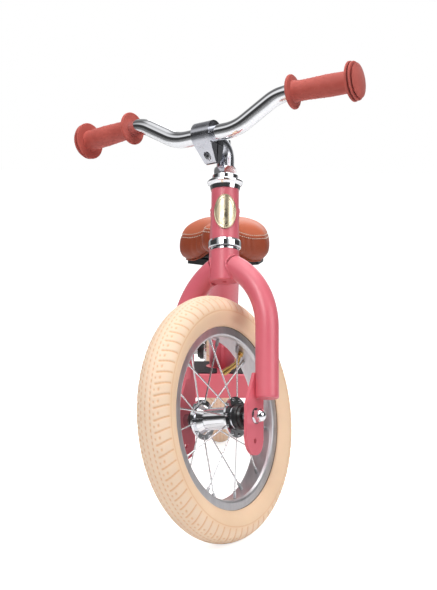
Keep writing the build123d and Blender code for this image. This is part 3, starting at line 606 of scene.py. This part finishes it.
def make_saddle():
    """Top panel over a spine, then a skirt that swells and tucks under."""
    rows = []
    line = saddle_outline(OUTLINE_COUNT)
    outs = outward(line)[1]
    for ring in range(RINGS):
        spread = (ring + 0.35) / (RINGS - 1 + 0.35)
        for x, y in line:
            spine_y = min(max(y, NOSE_Y + 16), TAIL_Y - 60)
            py = spine_y + (y - spine_y) * spread
            dome = (1 - spread ** 3) ** 0.65 if spread < 1 else 0.0
            low = float(seam_height(y))
            rows.append(seat_spot(x * spread, py, low + (float(crown_height(py)) - low) * dome))
    for step in range(1, SKIRT + 1):
        drop = step / SKIRT
        for (x, y), (nx, ny) in zip(line, outs):
            top, low = float(seam_height(y)), float(hem_height(y))
            out = tuck(drop)
            rows.append(seat_spot(x + nx * out, y + ny * out, top + (low - top) * drop))
    for (x, y), (nx, ny) in zip(line, outs):
        rows.append(seat_spot(x - nx * 12, y - ny * 12, float(hem_height(y)) + 4.5))
    count = OUTLINE_COUNT
    layers = len(rows) // count
    faces = grid_faces(layers, count, close_rows=False)
    faces.append(tuple(reversed(range(count))))
    faces.append(tuple(range((layers - 1) * count, layers * count)))
    piece = make_piece("saddle_padding", rows, faces, hide, "seat")
    bm = bmesh.new()
    bm.from_mesh(piece.data)
    bmesh.ops.recalc_face_normals(bm, faces=bm.faces)
    bm.to_mesh(piece.data)
    bm.free()
    puff(piece)
    gather(piece)
    piece.data.polygons.foreach_set("use_smooth", [True] * len(piece.data.polygons))
    # The skirt mask, from the seam down, carries the skirt's deeper brown with its painted shade.
    below = [float(seam_height(saddle_y(vertex.co))) - vertex.co.z / MM for vertex in piece.data.vertices]
    set_attribute(piece, "skirt", np.clip(np.array(below) * 0.8 + 0.5, 0, 1))
    return piece


saddle = make_saddle()
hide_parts("saddle_cover")
saddle_skin = BVHTree.FromPolygons([v.co for v in saddle.data.vertices],
                                   [list(face.vertices) for face in saddle.data.polygons])


def make_stitching():
    """Two rows of short thread dashes, one each side of the seam."""
    points = []
    faces = []
    line = even_steps([tuple(point) for point in saddle_outline(400)], 150)
    ways = outward(line)[0]
    for rise in (2.6, -2.6):
        for (x, y), (wx, wy) in zip(line, ways):
            aim = seat_spot(x, y, float(seam_height(y)) + rise)
            spot, out = saddle_skin.find_nearest(aim)[:2]
            ahead = seat_spot(x + wx, y + wy, float(seam_height(y + wy)) + rise)
            way = (ahead - aim).normalized()
            way = (way - out * way.dot(out)).normalized()
            up = way.cross(out)
            base = len(points)
            for place, size in ((-1.5, 0.15), (-1.1, 0.5), (0, 0.62), (1.1, 0.5), (1.5, 0.15)):
                for corner in range(6):
                    angle = math.pi * corner / 3
                    points.append(spot + (way * place + out * (0.15 + math.cos(angle) * size * 0.8)
                                  + up * math.sin(angle) * size) * MM)
            faces += [[base + index for index in face] for face in grid_faces(5, 6, close_rows=False)]
            faces.append([base + index for index in reversed(range(6))])
            faces.append([base + 24 + index for index in range(6)])
    return make_piece("saddle_stitching", points, faces, thread, "seat")


make_stitching()


def make_hem():
    """The piped lower edge of the skirt."""
    line = saddle_outline(OUTLINE_COUNT)
    outs = outward(line)[1]
    path = [seat_spot(x - nx * PIPING_INSET, y - ny * PIPING_INSET, float(hem_height(y)) + 0.6)
            for (x, y), (nx, ny) in zip(line, outs)]
    piece = make_piece("saddle_piping", tube_points(path, 1.4 * MM, 8), grid_faces(len(path), 8), hide,
                       "seat")
    # The piping takes the skirt's deeper brown with its painted shade.
    set_attribute(piece, "skirt", [1.0] * len(piece.data.vertices))


make_hem()


def make_pan():
    """The moulded wall from the base up to the hem, seen where the hem rises to the nose."""
    line = saddle_outline(OUTLINE_COUNT)
    outs = outward(line)[1]
    base_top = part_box("saddle_base")[1][2] / MM
    points = []
    for share, inset in PAN_PROFILE:
        for (x, y), (nx, ny) in zip(line, outs):
            rim = max(float(hem_height(y)) + 2.0, base_top + 0.5)
            height = base_top - 0.4 + (rim - base_top + 0.4) * share
            points.append(seat_spot(x - nx * inset, y - ny * inset, height))
    make_piece("saddle_pan_wall", points, grid_faces(len(PAN_PROFILE), OUTLINE_COUNT), black, "seat")


make_pan()


# ---- grips --------------------------------------------------------------------------
GRIP_ROWS = 10
GRIP_DOTS = 12
DOT_START = 12.0              # the first row of dots, along the grip
DOT_PITCH = 6.0
GRIP_PLACES = (7.5, 20, 50, 70)
GRIP_RADII = (12.8, 12.6, 13.8, 13.2)
BAR_SWEEP = math.radians(5.3)
BAR_TILT = math.radians(5.6)


def grip_axis(side):
    """Where a grip starts at its inner flange, and which way it runs."""
    rearward = steer_back * math.cos(BAR_TILT) - steer_up * math.sin(BAR_TILT)
    way = front_left * side * math.cos(BAR_SWEEP) + rearward * math.sin(BAR_SWEEP)
    node = nodes["grip_left" if side > 0 else "grip_right"]
    points = np.array([vertex.co for vertex in node.data.vertices])
    along = points @ np.array(way)
    flange = points[along < along.min() + 2.5 * MM]
    flange = flange - np.outer(flange @ np.array(way), np.array(way))
    centre = (flange.max(axis=0) + flange.min(axis=0)) / 2
    return Vector(centre) + way * (along.min() - Vector(centre).dot(way)), way


def make_grip_dots(side, name):
    """Small raised dots in rows round the grip, in staggered columns."""
    start, way = grip_axis(side)
    out = way.orthogonal().normalized()
    other = way.cross(out)
    points = []
    faces = []
    for row in range(GRIP_ROWS):
        along = DOT_START + row * DOT_PITCH
        body_radius = float(np.interp(along, GRIP_PLACES, GRIP_RADII))
        for dot in range(GRIP_DOTS):
            angle = 2 * math.pi * (dot + 0.5 * (row % 2)) / GRIP_DOTS
            normal = out * math.cos(angle) + other * math.sin(angle)
            beside = way.cross(normal)
            centre = start + way * along * MM + normal * (body_radius - 0.25) * MM
            base = len(points)
            for ring_radius, height in ((0.95, 0.0), (0.8, 0.4), (0.4, 0.62)):
                for corner in range(8):
                    turn = math.pi * corner / 4
                    points.append(centre + (way * math.cos(turn) * ring_radius
                                  + beside * math.sin(turn) * ring_radius + normal * height) * MM)
            faces += [[base + index for index in face] for face in grid_faces(3, 8, close_rows=False)]
            faces.append([base + 16 + index for index in range(8)])
            faces.append([base + index for index in reversed(range(8))])
    return make_piece(name, points, faces, red, "handlebar_stem")


make_grip_dots(1, "grip_dots_left")
make_grip_dots(-1, "grip_dots_right")


# ---- welds and badge rim ------------------------------------------------------------
HEAD_TUBE_RADIUS = 17.4
DOWN_TUBE_RADIUS = 17.3
BADGE_HEIGHT = 258.6
CROWN_RADIUS = 18.0
BLADE_RADIUS = 14.3
BLADE_PLACE = 62.5
BLADE_ARC_START = 108.0
BLADE_ARC_RADIUS = 93.0
WELD_STEPS = 96


def make_bead(name, path, radius, body, material, ripple=0.0):
    """A closed bead along a path, with the small ripples of a weld."""
    sides = 8
    points = tube_points(path, radius * MM, sides)
    for index, centre in enumerate(path):
        swell = 1 + ripple * math.sin(index * math.tau / 4)
        for side in range(sides):
            place = index * sides + side
            points[place] = centre + (points[place] - centre) * swell
    return make_piece(name, points, grid_faces(len(path), sides), material, body)


def crown_weld(side):
    """Round a fork blade where its arc enters the crown."""
    path = []
    for step in range(WELD_STEPS):
        angle = math.tau * step / WELD_STEPS
        y = BLADE_RADIUS * math.sin(angle)
        x = math.sqrt((CROWN_RADIUS + 0.1) ** 2 - y ** 2)
        reach = BLADE_ARC_RADIUS + BLADE_RADIUS * math.cos(angle)
        swing = math.acos(min(1.0, (x + BLADE_ARC_RADIUS - BLADE_PLACE) / reach))
        path.append(steer_point(side * x, y, BLADE_ARC_START + reach * math.sin(swing)))
    return path


make_bead("crown_weld_left", crown_weld(1), 1.5, "fork", pink, 0.16)
make_bead("crown_weld_right", crown_weld(-1), 1.5, "fork", pink, 0.16)


def head_point(x, y, up):
    """A point in the head tube's own frame, which does not turn."""
    rearward = Vector((0, steer_up.z, -steer_up.y))
    return steer_foot + (Vector((1, 0, 0)) * x + rearward * y + steer_up * up) * MM


def badge_edge(half_across, half_up, reach):
    """An oval on the round front of the head tube."""
    path = []
    for step in range(72):
        angle = math.tau * step / 72
        x = half_across * math.cos(angle)
        path.append(head_point(x, -math.sqrt(reach ** 2 - x ** 2), BADGE_HEIGHT + half_up * math.sin(angle)))
    return path


make_bead("badge_rim", badge_edge(13.2, 21.6, 18.6), 0.75, "frame", badge_metal)
make_bead("badge_inner_rim", badge_edge(10.2, 18.2, 18.6), 0.4, "frame", badge_metal)


def head_weld():
    """Round the down tube where it meets the head tube."""
    joint = head_point(0, 0, 266.0)
    foot = Vector((0, -279.0, 168.2)) * MM
    way = (foot - joint).normalized()
    over = way.cross(Vector((1, 0, 0)))
    path = []
    for step in range(WELD_STEPS):
        angle = math.tau * step / WELD_STEPS
        spot = (Vector((1, 0, 0)) * math.cos(angle) + over * math.sin(angle)) * (DOWN_TUBE_RADIUS + 0.05)
        flat_spot = spot - steer_up * spot.dot(steer_up)
        flat_way = way - steer_up * way.dot(steer_up)
        first = flat_way.length_squared
        second = flat_spot.dot(flat_way)
        third = flat_spot.length_squared - (HEAD_TUBE_RADIUS + 0.1) ** 2
        along = (-second + math.sqrt(max(0.0, second ** 2 - first * third))) / first
        path.append(joint + (spot + way * along) * MM)
    return path


make_bead("head_weld", head_weld(), 1.4, "frame", pink, 0.16)


# ---- stage, light and camera --------------------------------------------------------
FLOOR_HALF = 30
BRIGHT_REACH = 0.9            # the floor is bright this near the bike,
DARK_REACH = 1.5              # and dark from here on, in metres


def make_floor():
    """A plain pale floor, white to the camera; far from the bike it is dark to reflections."""
    mesh = bpy.data.meshes.new("floor")
    half = FLOOR_HALF
    mesh.from_pydata([(-half, -half, 0), (half, -half, 0), (half, half, 0), (-half, half, 0)], [],
                     [(0, 1, 2, 3)])
    material, tree, shader = new_material("pale_floor", (0.86, 0.86, 0.86), 0.6)
    tree.links.new(ramp(tree, noise(tree, 3), ((0.3, 0.55), (0.7, 0.7))), shader.inputs["Roughness"])
    shader.inputs["Emission Color"].default_value = (1, 1, 1, 1)
    place = tree.nodes.new("ShaderNodeTexCoord")
    reach = tree.nodes.new("ShaderNodeVectorMath")
    reach.operation = "LENGTH"
    tree.links.new(place.outputs["Object"], reach.inputs[0])
    away = tree.nodes.new("ShaderNodeMapRange")
    away.inputs["From Min"].default_value = BRIGHT_REACH
    away.inputs["From Max"].default_value = DARK_REACH
    tree.links.new(reach.outputs["Value"], away.inputs["Value"])
    tree.links.new(ramp(tree, away.outputs["Result"], ((0.0, 0.86), (1.0, 0.22))),
                   shader.inputs["Base Color"])
    rays = tree.nodes.new("ShaderNodeLightPath")
    glow = ramp(tree, away.outputs["Result"], ((0.0, 0.72), (1.0, 1.0)))
    tree.links.new(mix(tree, rays.outputs["Is Camera Ray"], (0, 0, 0), glow),
                   shader.inputs["Emission Strength"])
    mesh.materials.append(material)
    floor = bpy.data.objects.new("floor", mesh)
    bpy.context.scene.collection.objects.link(floor)


def area_light(name, place, target, size, power):
    """A square lamp that faces a target."""
    light = bpy.data.lights.new(name, "AREA")
    light.energy = power
    light.size = size
    lamp = bpy.data.objects.new(name, light)
    lamp.location = place
    lamp.rotation_euler = (Vector(target) - Vector(place)).to_track_quat("-Z", "Y").to_euler()
    bpy.context.scene.collection.objects.link(lamp)


def make_world():
    """White to the camera; to reflections a dark studio with soft boxes above eye height."""
    world = bpy.data.worlds.new("studio")
    world.use_nodes = True
    bpy.context.scene.world = world
    tree = world.node_tree
    background = tree.nodes["Background"]
    place = tree.nodes.new("ShaderNodeTexCoord")
    split = tree.nodes.new("ShaderNodeSeparateXYZ")
    tree.links.new(place.outputs["Generated"], split.inputs["Vector"])
    forward = tree.nodes.new("ShaderNodeMath")
    forward.operation = "MULTIPLY"
    forward.inputs[1].default_value = -1
    tree.links.new(split.outputs["Y"], forward.inputs[0])
    heading = tree.nodes.new("ShaderNodeMath")
    heading.operation = "ARCTAN2"
    tree.links.new(split.outputs["X"], heading.inputs[0])
    tree.links.new(forward.outputs[0], heading.inputs[1])
    round_about = tree.nodes.new("ShaderNodeMapRange")
    round_about.inputs["From Min"].default_value = -math.pi
    round_about.inputs["From Max"].default_value = math.pi
    tree.links.new(heading.outputs[0], round_about.inputs["Value"])
    boxes = ramp(tree, round_about.outputs["Result"], (
        (0.0, 0.35), (0.20, 0.10), (0.27, 0.95), (0.39, 1.0), (0.45, 0.06), (0.55, 0.06),
        (0.59, 1.0), (0.63, 0.95), (0.69, 0.10), (1.0, 0.35)))
    walls = ramp(tree, round_about.outputs["Result"], (
        (0.0, 0.7), (0.12, 0.5), (0.17, 0.05), (0.83, 0.05), (0.88, 0.5), (1.0, 0.7)))
    height = tree.nodes.new("ShaderNodeMapRange")
    height.inputs["From Min"].default_value = -1
    height.inputs["From Max"].default_value = 1
    tree.links.new(split.outputs["Z"], height.inputs["Value"])
    above = ramp(tree, height.outputs["Result"], ((0.69, 0.0), (0.745, 1.0)))
    ceiling = ramp(tree, height.outputs["Result"], ((0.90, 0.0), (0.94, 1.0)))
    room = mix(tree, ceiling, mix(tree, above, walls, boxes), (0.95, 0.95, 0.95))
    rays = tree.nodes.new("ShaderNodeLightPath")
    tree.links.new(mix(tree, rays.outputs["Is Camera Ray"], room, (1.0, 1.0, 1.0)),
                   background.inputs["Color"])


make_floor()
make_world()
area_light("key", (-1.0, -2.2, 2.2), (0, -0.4, 0.25), 1.3, 33)
area_light("fill", (1.8, -1.6, 1.2), (0, -0.4, 0.25), 1.4, 18)
area_light("top", (0.1, -0.2, 2.6), (0, -0.3, 0.2), 1.8, 27)
area_light("back", (0.6, 2.0, 1.6), (0, -0.2, 0.3), 1.6, 11)

CAMERA_PLACE = (-0.0184, -2.1534, 0.4685)
CAMERA_YAW = -0.381
CAMERA_PITCH = -6.074
CAMERA_ROLL = -0.563
CAMERA_LENS = 81.42
camera_data = bpy.data.cameras.new("camera")
camera_data.lens = CAMERA_LENS
camera = bpy.data.objects.new("camera", camera_data)
bpy.context.scene.collection.objects.link(camera)
turned = (Matrix.Rotation(math.radians(CAMERA_YAW), 4, "Z")
          @ Matrix.Rotation(math.radians(CAMERA_PITCH), 4, "X")
          @ Matrix.Rotation(math.radians(CAMERA_ROLL), 4, "Y"))
camera.matrix_world = Matrix.Translation(CAMERA_PLACE) @ turned @ Matrix.Rotation(math.radians(90), 4, "X")
bpy.context.scene.camera = camera
bpy.context.scene.view_settings.view_transform = "Standard"
